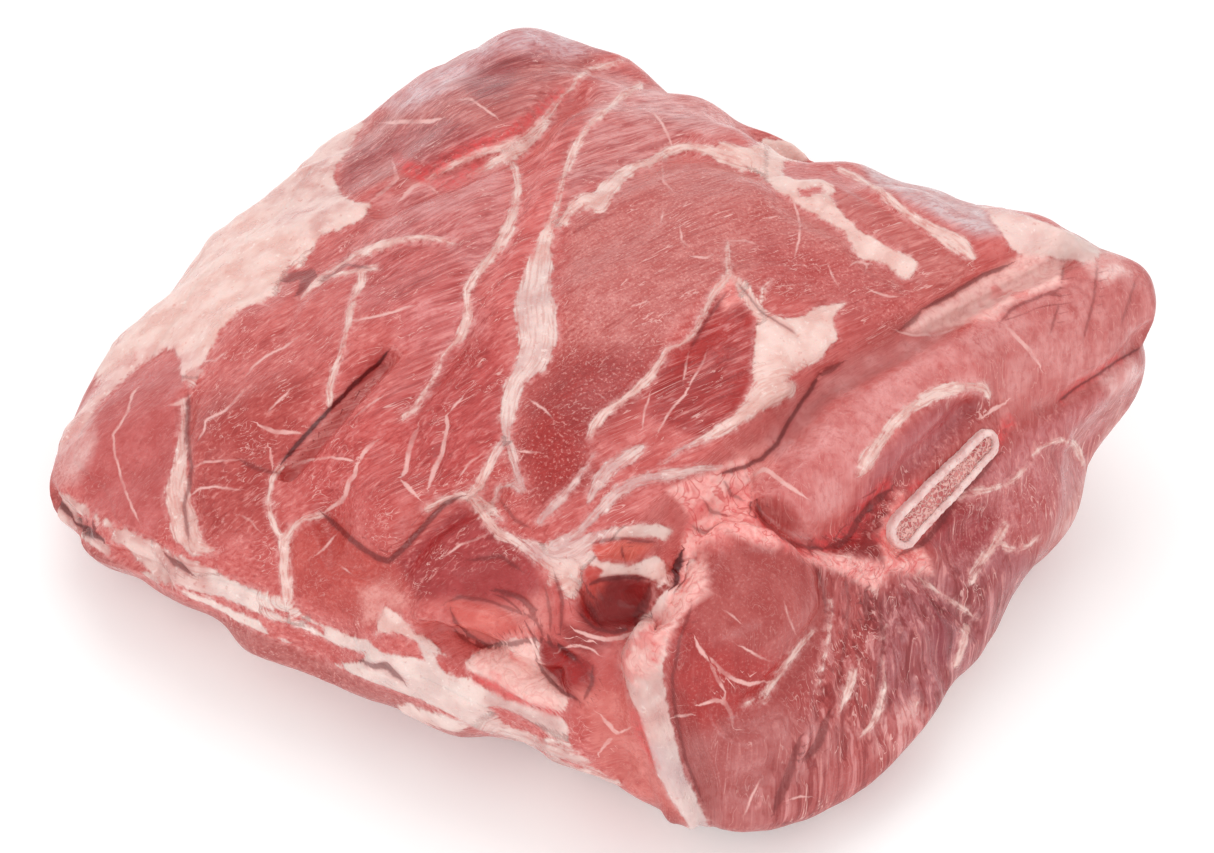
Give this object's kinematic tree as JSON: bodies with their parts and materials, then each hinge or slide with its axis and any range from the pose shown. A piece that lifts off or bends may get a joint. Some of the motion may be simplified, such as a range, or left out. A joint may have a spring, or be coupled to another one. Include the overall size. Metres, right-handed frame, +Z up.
{
  "type": "bone-in pork shoulder joint",
  "caption": "Raw pork shoulder block on the bone: deep-seamed lean meat over a fat layer and a lower lean layer, with the sawn blade bone showing in the cut end",
  "frame": {"origin": "On the table under the middle of the joint's plan, at the middle of its bounding box's base", "axes": "+Z up, +X from the thin end towards the sawn end with the bone, -Y towards the long side that shows the layers"},
  "size_m": [0.2735, 0.2446, 0.1003],
  "materials": {
    "lean": "moist raw lean pork, satin",
    "fat": "soft pale pink fat, satin",
    "lower_lean": "moist raw lean pork, satin",
    "bone": "sawn bone, matte",
    "marrow": "spongy red marrow, matte"
  },
  "bodies": {
    "root": {"shoulder_meat": "lean", "fat_cap": "fat", "lower_lean": "lower_lean", "blade_bone": "bone", "bone_marrow": "marrow"}
  },
  "joints": []
}
